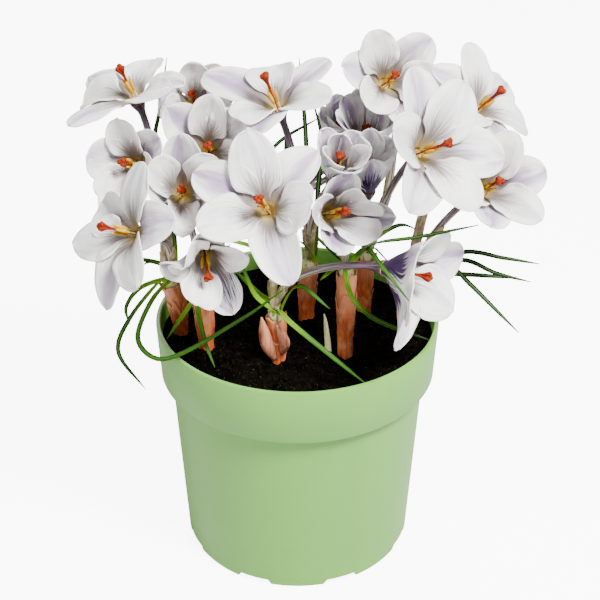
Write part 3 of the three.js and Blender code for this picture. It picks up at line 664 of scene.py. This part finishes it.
LOOKS = {
    "pot": pot_look(),
    "soil": soil_look(),
    "sheath": sheath_look("sheath", (168, 68, 28), (206, 104, 50), (122, 50, 26)),
    "scale": sheath_look("scale", (164, 88, 66), (206, 140, 108), (118, 58, 44)),
    "crown": crown_look(),
    "leaf": leaf_look(),
    "tube": tube_look(),
    "spathe": spathe_look(),
    "throat": plain_look("throat", (196, 172, 104), (166, 142, 84)),
    "inside": tepal_look("tepal_inside", outer=False),
    "outside": tepal_look("tepal_outside", outer=True),
    "stigma": plain_look("stigma", (132, 42, 0), (104, 20, 0), 0.9),
    "style": plain_look("style", (160, 74, 0), (142, 52, 0), 0.9),
    "anther": plain_look("anther", (212, 168, 44), (190, 138, 20), 0.8),
    "shoot": plain_look("shoot", (196, 200, 128), (226, 220, 178)),
    "filament": plain_look("filament", (232, 214, 150), (220, 190, 110)),
}

# Pot


def make_drills():
    """Upright rods where the pot's drain holes are."""
    bm = bmesh.new()
    radius = POT.drain_radius * MM
    for i in range(POT.drains):
        drill = bmesh.ops.create_cone(
            bm,
            cap_ends=True,
            segments=POT.drain_sides,
            radius1=radius,
            radius2=radius,
            depth=2 * POT.drain_depth * MM,
            matrix=Matrix.Rotation(POT.drain_turn, 4, "Z"),
        )["verts"]
        spot = ring_way(2 * math.pi * i / POT.drains) * POT.drain_circle * MM
        bmesh.ops.translate(bm, verts=drill, vec=spot)
    return add_object("drills", bm)


def make_pot():
    top, rise = POT.height, POT.base_rise
    ledge, slope = top - POT.collar_depth, POT.step_slope
    floor_top = rise + POT.floor
    collar, wall, base = POT.collar_foot_radius, POT.wall_top_radius, POT.base_radius
    ring, pad = base - POT.foot_ring, POT.pad_radius
    rim, lip = POT.rim_radius, POT.rim_radius - POT.lip_wall
    profile = [
        (0, 0),
        (pad, 0),
        (pad + POT.pad_slope, rise),
        (ring, rise),
        (ring + POT.foot_slope, 0),
        (base - POT.base_round[0], 0),
        (base, POT.base_round[1]),
        (base + 0.1, rise - POT.notch_clear),
        (wall, ledge),
        (collar - POT.collar_round[0], ledge),
        (collar, ledge + POT.collar_round[1]),
        (rim, top - POT.rim_round),
        (rim - POT.rim_bevel[0], top - POT.rim_bevel[1]),
        (rim - POT.rim_round, top),
        (lip + POT.lip_round[0], top),
        (lip, top - POT.lip_round[1]),
        (collar - POT.wall, ledge + slope),
        (wall - POT.wall, ledge - slope),
        (base - POT.wall, floor_top),
        (0, floor_top),
    ]
    notch_turn = 2 * math.pi / POT.notches
    half = POT.notch_width / 2 / base

    def place(s, v):
        radius, height = profile[round(s * (len(profile) - 1))]
        turn = math.pi * v
        off = (turn % notch_turn) - notch_turn / 2
        if abs(off) < half and radius > ring:
            height = max(height, rise - POT.notch_clear)
        return Vector((radius * math.cos(turn), radius * math.sin(turn), height))

    bm = bmesh.new()
    add_sheet(bm, len(profile) - 1, POT.sides, place, around=True)
    bmesh.ops.dissolve_degenerate(bm, dist=1e-6, edges=bm.edges)
    bmesh.ops.recalc_face_normals(bm, faces=bm.faces)
    made = piece("pot", bm, "pot", ["pot"])
    drills = make_drills()
    cut = made.modifiers.new("drains", "BOOLEAN")
    cut.operation = "DIFFERENCE"
    cut.solver = "EXACT"
    cut.object = drills
    whole = made.evaluated_get(bpy.context.evaluated_depsgraph_get())
    made.data = bpy.data.meshes.new_from_object(whole)
    made.modifiers.clear()
    bpy.data.objects.remove(drills)
    made.data.set_sharp_from_angle(angle=POT.sharp)


def make_soil():
    lip = POT.rim_radius - POT.lip_wall - SOIL.rim_gap
    ledge = POT.height - POT.collar_depth
    rng = random.Random(4)

    def top(x, y):
        rough = noise.fractal(Vector((x * 0.25, y * 0.25, 3.0)), 0.9, 2.2, 5)
        clods = max(0.0, noise.noise(Vector((x * 0.55, y * 0.55, 9.0)))) * SOIL.clods
        share = 1 - smooth(math.hypot(x, y), lip - SOIL.even_rim, lip)
        return soil_height(x, y) + (SOIL.lumps * rough + clods) * share

    def place(s, v):
        a, b = 2 * s - 1, v
        x = lip * a * math.sqrt(1 - b * b / 2)
        y = lip * b * math.sqrt(1 - a * a / 2)
        return Vector((x, y, top(x, y)))

    bm = bmesh.new()
    add_sheet(bm, SOIL.cells, SOIL.cells, place)
    above, below = SOIL.step
    rings = [
        (POT.collar_foot_radius - POT.wall - GAP, ledge + above),
        (POT.wall_top_radius - POT.wall - GAP, ledge + below),
        (
            POT.base_radius - POT.wall - SOIL.floor_gap,
            POT.base_rise + POT.floor + GAP,
        ),
    ]
    edge = [e for e in bm.edges if e.is_boundary]
    for radius, height in rings:
        made = bmesh.ops.extrude_edge_only(bm, edges=edge)["geom"]
        edge = [e for e in made if isinstance(e, bmesh.types.BMEdge) and e.is_boundary]
        for vert in {vert for e in edge for vert in e.verts}:
            flat = Vector((vert.co.x, vert.co.y, 0)).normalized() * radius * MM
            vert.co = Vector((flat.x, flat.y, height * MM))
    bmesh.ops.holes_fill(bm, edges=edge, sides=0)
    for _ in range(SOIL.crumbs):
        turn = rng.uniform(0, 2 * math.pi)
        reach = (lip - SOIL.even_rim) * math.sqrt(rng.random())
        x, y = reach * math.cos(turn), reach * math.sin(turn)
        feet = [tuft["at"] for tuft in TUFTS.values()]
        if any(math.hypot(x - foot[0], y - foot[1]) < SOIL.bare for foot in feet):
            continue
        size = rng.choice(SOIL.crumb_sizes)
        crumb = bmesh.ops.create_icosphere(bm, subdivisions=2, radius=size * MM)["verts"]
        offset = rng.uniform(0, 50)
        centre = Vector((x, y, top(x, y) + size * 0.25)) * MM
        for vert in crumb:
            bulge = 1 + 0.55 * noise.noise(vert.co * (900 / size) + Vector((offset, 0, 0)))
            vert.co = centre + vert.co * bulge
    bmesh.ops.recalc_face_normals(bm, faces=bm.faces)
    piece("soil", bm, "soil", ["soil"])


# Tufts


def make_sheath(number, tuft):
    rng = random.Random(number)
    radius, rise = SHEATH.radius, tuft["rise"]
    offset = rng.uniform(0, 40)
    bm = bmesh.new()
    sleeve_top = rise * rng.uniform(*SHEATH.sleeve_share)
    layers = [
        (-SHEATH.depth, rise, 0.0),
        (-SHEATH.sleeve_depth, sleeve_top, SHEATH.sleeve_gap),
    ]
    for layer, (low, high, grow) in enumerate(layers):

        def place(s, v, low=low, high=high, grow=grow, layer=layer):
            ring = ring_way(math.pi * v)
            tear = noise.noise(ring * 1.6 + Vector((offset, layer, 0)))
            nick = noise.noise(ring * 6 + Vector((offset, layer, 5)))
            torn = SHEATH.tear + SHEATH.sleeve_tear * layer
            height = mix(low, high + (torn * tear + SHEATH.nick * nick - 1.0), s)
            wrinkle = noise.noise(ring * 3.2 + Vector((offset, 0, height * 0.05)))
            crease = noise.noise(ring * 0.9 + Vector((offset, 3, height * 0.35)))
            full = smooth(height, 2.5, rise - SHEATH.pocket)
            reach = mix(SHEATH.foot, radius, full) + grow - 0.1
            reach += SHEATH.wrinkle * wrinkle + SHEATH.crease * crease
            reach += (0.3 + 1.2 * max(0, tear)) * smooth(s, 0.8, 1.0) * (1 - 0.6 * layer)
            return tuft_point(tuft, height) + ring * reach

        add_sheet(bm, *SHEATH.cells, place, around=True)
    ground = Vector((*tuft["at"], soil_height(*tuft["at"])))
    for home, size, *points in SCALES:
        if home == number:
            curve = catmull([ground + Vector(point) for point in points])

            def swell(t, turn, size=size):
                ridge = 1 + SCALE.ridge * math.cos(2 * turn) * t
                belly = math.sin(math.pi * mix(SCALE.first, SCALE.last, t))
                return size * SCALE.full * belly * ridge

            tube_around(bm, curve, swell, *SCALE.cells, slot=1)
    node = f"sheath_{number}"
    add_skin(piece(node, bm, node, ["sheath", "scale"]), SHEATH.skin, offset=-1)


def leaf_turns(top, leaves):
    """The turns at which a tuft's leaves start: side by side, near the way that each goes."""
    ways = []
    for points in leaves:
        way = seen(*points[0]) - top
        ways.append(math.atan2(way.y, way.x))
    order = sorted(range(len(ways)), key=lambda i: ways[i])
    step = min(2 * math.pi / len(leaves), LEAF.step)
    mean = sum(ways) / len(ways)
    turns = [0.0] * len(ways)
    for i, leaf in enumerate(order):
        turns[leaf] = mean + (i - (len(leaves) - 1) / 2) * step
    return turns


def leaf_sections(curve, out):
    """Points of a leaf's middle line, each with the lines across it and through it."""
    sections = []
    rings = LEAF.cells[0]
    for i in range(rings + 1):
        s = i / rings
        way = (curve(min(1, s + 5e-3)) - curve(max(0, s - 5e-3))).normalized()
        flat = Vector((way.x, way.y, 0))
        face = UP.lerp(LEAF_FACE, smooth(s, 0.02, 0.2))
        across = flat.cross(face).normalized() if flat.length > 0.05 else out.cross(UP)
        if sections and across.dot(sections[-1][1]) < 0:
            across = -across
        if sections:
            across = (across * 0.35 + sections[-1][1] * 0.65).normalized()
        across = (across - way * across.dot(way)).normalized()
        sections.append((curve(s), across, across.cross(way)))
    return sections


def make_leaves(number, tuft, leaves):
    top = tuft_point(tuft, tuft["rise"])
    rng = random.Random(100 + number)
    bm = bmesh.new()
    young, painted_light, share = (bm.verts.layers.float.new(n) for n in ("young", "painted_light", "along"))
    low, end = tuft["rise"] - 6, tuft["rise"]
    plug = [(2.7, low), (2.75, low + 5), (2.7, end + 1.4), (1.8, end + 2.2), (0.01, end + 2.3)]

    def crown(s, v):
        radius, height = plug[round(s * (len(plug) - 1))]
        return tuft_point(tuft, height) + ring_way(math.pi * v) * radius

    add_sheet(bm, len(plug) - 1, 24, crown, slot=1, around=True)
    for turn, points in zip(leaf_turns(top, leaves), leaves):
        out = ring_way(turn)
        start = top + out * (CROWN_RADIUS - LEAF.inset) + UP * GAP
        clear = start + UP * LEAF.rise + out * 0.3
        curve = catmull([start, clear, *(seen(*point) for point in points)])
        sections = leaf_sections(curve, out)
        rings = len(sections) - 1

        def place(s, v, sections=sections, rings=rings):
            middle, across, thick = sections[round(s * rings)]
            taper = LEAF.tip + (1 - LEAF.tip) * (1 - s**5)
            width = LEAF.width / 2 * taper * mix(LEAF.foot, 1, smooth(s, 0, 0.2))
            channel = LEAF.channel * (v * v - 0.5) * (1 - s)
            return middle + across * (v * width) + thick * channel

        first = len(bm.verts)
        add_sheet(bm, *LEAF.cells, place, seed=rng.random() * 9)
        length = sum((sections[i][0] - sections[i + 1][0]).length for i in range(rings))
        front = sum(section[0].y for section in sections) / len(sections)

        # Youth near a leaf's foot, and painted light: a lighter share for leaves at the front,
        # except on the right
        def age_and_painted_light(vert, length=length, front=front):
            fresh = 1 - smooth(vert[share] * length, *LEAF.young)
            return fresh, smooth(front, 5, -25) * smooth(vert.co.x / MM, 55, 25)

        mark_since(bm, first, (young, painted_light), age_and_painted_light)
    node = f"leaves_{number}"
    add_skin(piece(node, bm, node, ["leaf", "crown"]), LEAF.thickness)


def make_sprout():
    x, y = SPROUT.at
    ground = soil_height(x, y)
    lean_x, lean_y = SPROUT.lean
    curve = bezier(
        [
            Vector((x, y, ground - SPROUT.depth)),
            Vector((x, y, ground + SPROUT.rise / 2)),
            Vector((x + lean_x, y + lean_y, ground + SPROUT.rise)),
        ]
    )

    def taper(t, turn):
        ridge = SPROUT.ridge * math.cos(3 * turn + 5 * t)
        end = math.sqrt(max(0.0, 1 - t**6))
        return (mix(SPROUT.radius, SPROUT.tip, t * t) + ridge) * end

    bm = bmesh.new()
    tube_around(bm, curve, taper, *SPROUT.cells)
    piece("sprout", bm, "sprout", ["shoot"])


# Blooms


def facing_line(bearing, height):
    a, e = math.radians(bearing), math.radians(height)
    return Vector((math.sin(a) * math.cos(e), -math.cos(a) * math.cos(e), math.sin(e)))


class Bloom:
    """Where a bloom's throat, line and tepals are."""

    def __init__(self, letter, row):
        self.letter = letter
        self.row = row
        self.throat = seen(*row["throat"])
        self.line = facing_line(*row["facing"])
        self.high = (UP - self.line * UP.dot(self.line)).normalized()
        self.wide = self.high.cross(self.line)
        self.bell = [self.tepal(k) for k in range(6)]

    def tip(self, k):
        row = self.row
        reach = row["size"] * (TEPAL.inner_share if k % 2 else 1)
        turn = math.radians(row["roll"] + 60 * k)
        lean = math.radians(row["open"][k % 2])
        aside = self.wide * math.cos(turn) + self.high * math.sin(turn)
        tip = self.throat + (self.line * math.cos(lean) + aside * math.sin(lean)) * reach
        if k not in row["tips"]:
            return tip
        ray = sight_line(*row["tips"][k]).normalized()
        level = ray.dot(self.throat - CAMERA)
        nearest = CAMERA + ray * level
        off = (nearest - self.throat).length
        depth = ray.dot(tip - CAMERA) - level
        least, most = (
            math.sqrt(max(0, (share * reach) ** 2 - off**2)) for share in TEPAL.reach
        )
        return nearest + ray * math.copysign(min(most, max(least, abs(depth))), depth)

    def tepal(self, k):
        """A tepal's turn around the throat, its length, and its middle line: out and up."""
        arm = self.tip(k) - self.throat
        reach = arm.length
        height = arm.dot(self.line)
        out = math.sqrt(reach * reach - height * height)
        even = math.radians(self.row["roll"] + 60 * k)
        off = math.atan2(arm.dot(self.high), arm.dot(self.wide)) - even
        swing = TEPAL.swing
        turn = max(-swing, min(swing, math.atan2(math.sin(off), math.cos(off))))
        root = Vector((TUBE.throat - 0.8, 0))
        bend = Vector((0.3 * reach, 0.3 * reach + 0.16 * height))
        return even + turn, reach, bezier([root, bend, Vector((out, height))])

    def turn_to(self, k, by):
        turn = self.bell[(k + by) % 6][0] - self.bell[k][0]
        return math.atan2(math.sin(turn - by), math.cos(turn - by)) + by

    def around(self, turn, out, height):
        aside = self.wide * math.cos(turn) + self.high * math.sin(turn)
        return self.throat + self.line * height + aside * out

    def surface(self, k, rng):
        """How tepal k lies: a cupped, waved blade that joins its neighbours near the throat."""
        turn, reach, middle = self.bell[k]
        half = TEPAL.width * reach / 2
        offset = rng.uniform(0, 60)
        cup = rng.uniform(*TEPAL.cup)
        curl = rng.uniform(*TEPAL.curl)
        widest, end = TEPAL.widest, TEPAL.end

        def outline(s):
            claw = TEPAL.claw + (1 - TEPAL.claw) * smooth(s, 0.02, 0.6)
            past = max(0, s - widest) / end
            return claw * math.sqrt(1 - 0.998 * past**2.2)

        def place(s, v):
            s = 1 - (1 - s) ** 1.15
            spot = middle(s)
            way = (middle(min(1, s + 1e-3)) - middle(max(0, s - 1e-3))).normalized()
            side = -1 if v < 0 else 1
            next_turn = self.turn_to(k, side)
            near, far = abs(next_turn) / 2, abs(self.turn_to(k, 2 * side)) / 2
            most = mix(near + 0.06, far - 0.04, smooth(s, 0.2, 0.5))
            joined = (near + 0.08) * (1 - smooth(s, 0.18, 0.52))
            spread = v * min(max(half * outline(s) / spot.x, joined), most)
            share = smooth(min(1, spread / next_turn), 0, 1)
            beside = self.bell[(k + side) % 6][2](s)
            ripple = TEPAL.ripple * noise.noise(Vector((s * 2.4, v * 1.6, offset)))
            edge = noise.noise(Vector((s * 7, side * 3.0, offset + 9))) * abs(v) ** 3
            edge *= smooth(s, 1.0, 0.85)
            crease = TEPAL.crease * math.exp(-((v / TEPAL.crease_width) ** 2))
            crease *= smooth(s, 0.1, 0.4) * smooth(s, 1.0, 0.8)
            stand = TEPAL.nest[k % 2] * min(1, s / TEPAL.nest_by)
            stand += smooth(s, 0.2, 0.6) * (ripple + edge - cup * (v * outline(s)) ** 2)
            stand += crease + curl * smooth(s, 0.75, 1.0)
            out = spot.x + (beside.x - spot.x) * share + way.y * stand
            height = spot.y + (beside.y - spot.y) * share - way.x * stand
            return self.around(turn + spread, out, height)

        return place

    def stem(self):
        """The tube's middle line, from its foot on the crown to the throat."""
        tuft = TUFTS[self.row["tuft"]]
        turn, out = math.radians(self.row["foot"]), TUBE.foot_circle
        off = Vector((out * math.cos(turn), out * math.sin(turn), TUBE.foot_rise))
        foot = tuft_point(tuft, tuft["rise"]) + off
        span = (self.throat - foot).length
        sway = Vector(self.row.get("sway", (0, 0, 0)))
        near = foot + UP * span * 0.4 + sway
        far = self.throat - self.line * span * 0.25 + sway
        return bezier([foot, near, far, self.throat.copy()])


def make_tepals(bloom, rng):
    bm = bmesh.new()
    layers = [bm.verts.layers.float.new(name) for name in ("blotch", "tint", "net")]
    for k in range(6):
        first = len(bm.verts)
        add_sheet(bm, *TEPAL.cells, bloom.surface(k, rng), seed=rng.random())
        outer = k % 2 == 0
        blotch = PURPLE.get(bloom.letter, TEPAL.purple) if outer else TEPAL.inner_mark
        tint = rng.uniform(*(TEPAL.outer_tint if outer else TEPAL.inner_tint))
        # Blooms j to n get extra lilac-grey on every tepal: their own lavender, and painted shade
        tint = min(1, tint + LILAC_AND_SHADE.get(bloom.letter, 0))
        net = 1.0 if k in bloom.row.get("net", ()) else 0.0
        mark_since(bm, first, layers, lambda vert, marks=(blotch, tint, net): marks)
    node = f"bloom_{bloom.letter}"
    skin = add_skin(piece(node, bm, node, ["inside", "outside"]), TEPAL.thickness)
    skin.material_offset = 1
    skin.material_offset_rim = 0


def make_tube(bloom, rng):
    """The tube, the loose spathe round it, and the cup that closes the throat."""
    stem = bloom.stem()
    length = sum((stem(i / 20) - stem((i + 1) / 20)).length for i in range(20))

    def radius(t, turn):
        flare = smooth(t, 1 - TUBE.funnel / length, 1) ** 1.2
        wide = TUBE.throat - TUBE.neck - TUBE.lining
        return mix(TUBE.foot, TUBE.neck, smooth(t, 0, 0.3)) + wide * flare

    bm = bmesh.new()
    tube_around(bm, stem, radius, *TUBE.cells, seed=rng.random())
    point = rng.uniform(-math.pi, math.pi)
    top = rng.uniform(*SPATHE.share)
    frames = along_curve(stem, 60)

    def spathe(s, v):
        turn = math.pi * v
        end = 0.4 + 0.6 * max(0, math.cos(turn - point)) ** 0.7
        t = SPATHE.start + (top - SPATHE.start) * s * end
        loose = SPATHE.loose + SPATHE.swell * smooth(s, 0.2, 0.7)
        loose += SPATHE.loose * noise.noise(Vector((turn, 4 * s, point)))
        return off_line(*frames[round(t * 60)], turn, radius(t, turn) + loose)

    def cup(s, v):
        out = mix(TUBE.throat - 0.6, 0.3, s)
        return bloom.around(math.pi * v, out, -TUBE.cup_depth * smooth(s, -0.3, 1))

    add_sheet(bm, *SPATHE.cells, spathe, slot=2, around=True)
    add_sheet(bm, *TUBE.cup_cells, cup, slot=4, around=True)

    # A skin's outer face shows the look after the sheet's own

    looks = ["throat", "tube", "spathe", "spathe", "throat", "throat"]
    made = piece(f"tube_{bloom.letter}", bm, f"bloom_{bloom.letter}", looks)
    add_skin(made, TUBE.skin, offset=-1).material_offset = 1


def make_heart(bloom, rng):
    reach = bloom.row["size"] * HEART.reach

    def line(*stops):
        """A curve through stops: height, distance out, turn."""
        return bezier([bloom.around(turn, out, height) for height, out, turn in stops])

    bm = bmesh.new()
    start = rng.uniform(0, 2)
    fork = reach * HEART.fork
    style = line((-HEART.seat, 0, 0), (fork * 0.5, 0.1, start), (fork, 0, 0))
    thin, grow = HEART.style, HEART.style_grow
    tube_around(bm, style, lambda t, turn: thin + grow * t**2, 10, 10, slot=1)
    for i in range(3):
        turn = start + 2 * math.pi * i / 3
        lobe = line((fork - 0.8, 0.1, turn), (reach * 0.86, 0.5, turn), (reach * 1.03, 1.2, turn))

        def flare(t, angle, i=i):
            frill = 1 + HEART.frill * math.sin(HEART.frills * angle + i) * smooth(t, 0.5, 1)
            closed = math.sqrt(max(0, 1 - (max(0, t - 0.8) / 0.2) ** 2))
            return (HEART.lobe + HEART.lobe_flare * smooth(t, 0.3, 0.85)) * frill * closed

        tube_around(bm, lobe, flare, 14, 20, slot=0)
    for i in range(3):
        turn = start + math.pi / 3 + 2 * math.pi * i / 3
        tip = HEART.stamen
        low = tip * HEART.filament_share
        thread = line((-1, 1.0, turn), (low * 0.5, 1.0, turn), (low, 1.1, turn))
        tube_around(bm, thread, lambda t, turn: HEART.filament, 6, 8, slot=3)
        pod = line((low, 1.1, turn), (low + 3.2, 1.3, turn), (tip, 1.9, turn))

        def swell(t, angle):
            groove = 1 - HEART.groove * math.exp(-((math.sin(angle) / 0.3) ** 2))
            belly = math.sqrt(max(0, math.sin(math.pi * min(1, t * 0.94 + 0.04))))
            return (0.15 + HEART.anther * belly) * groove

        tube_around(bm, pod, swell, 12, 12, slot=2)
    node = f"heart_{bloom.letter}"
    piece(node, bm, node, ["stigma", "style", "anther", "filament"])


make_pot()
make_soil()
make_sprout()
for number, tuft in TUFTS.items():
    make_sheath(number, tuft)
    make_leaves(number, tuft, [points for home, *points in LEAVES if home == number])
for letter, row in BLOOMS.items():
    bloom = Bloom(letter, row)
    rng = random.Random(ord(letter))
    make_tepals(bloom, rng)
    make_tube(bloom, rng)
    make_heart(bloom, rng)

# Stage, in metres: a pale floor that shows white to the camera, and three soft lights, each
# with its place, the height that it aims at, its width and its power

FLOOR = SimpleNamespace(half=6, glow=8.0)
LIGHTS = {
    "key": ((0.45, -0.55, 1.05), 0.14, 0.35, 52),
    "fill": ((-0.9, -0.8, 0.4), 0.12, 0.8, 6),
    "back": ((-0.3, 1.0, 0.8), 0.12, 0.8, 9),
}
WORLD = 0.5
SENSOR = 36

bm = bmesh.new()
bmesh.ops.create_grid(bm, x_segments=1, y_segments=1, size=FLOOR.half)
floor_look = Look("floor", roughness=0.9, specular_ior_level=0.1, emission_color=(1, 1, 1, 1))
floor_look.colour(rgb(206, 206, 206))
sight = floor_look.node("ShaderNodeLightPath").outputs["Is Camera Ray"]
glow = floor_look.times(sight, FLOOR.glow)
floor_look.feed(floor_look.shader.inputs["Emission Strength"], glow)
add_object("floor", bm, [floor_look.material])

for name, (spot, height, size, power) in LIGHTS.items():
    data = bpy.data.lights.new(name, "AREA")
    data.shape = "DISK"
    data.size = size
    data.energy = power
    light = bpy.data.objects.new(name, data)
    light.location = spot
    way = UP * height - Vector(spot)
    light.rotation_euler = way.to_track_quat("-Z", "Y").to_euler()
    bpy.context.collection.objects.link(light)

world = bpy.data.worlds.new("studio")
bpy.context.scene.world = world
world.use_nodes = True
for socket, value in zip(world.node_tree.nodes["Background"].inputs, ((1, 1, 1, 1), WORLD)):
    socket.default_value = value

camera_data = bpy.data.cameras.new("camera")
camera_data.lens = SENSOR * VIEW.focal / VIEW.frame
camera_data.sensor_width = SENSOR
camera_data.clip_end = 20
camera = bpy.data.objects.new("camera", camera_data)
camera.location = CAMERA * MM
camera.rotation_euler = (math.pi / 2 - PITCH, 0, 0)
bpy.context.collection.objects.link(camera)
bpy.context.scene.camera = camera
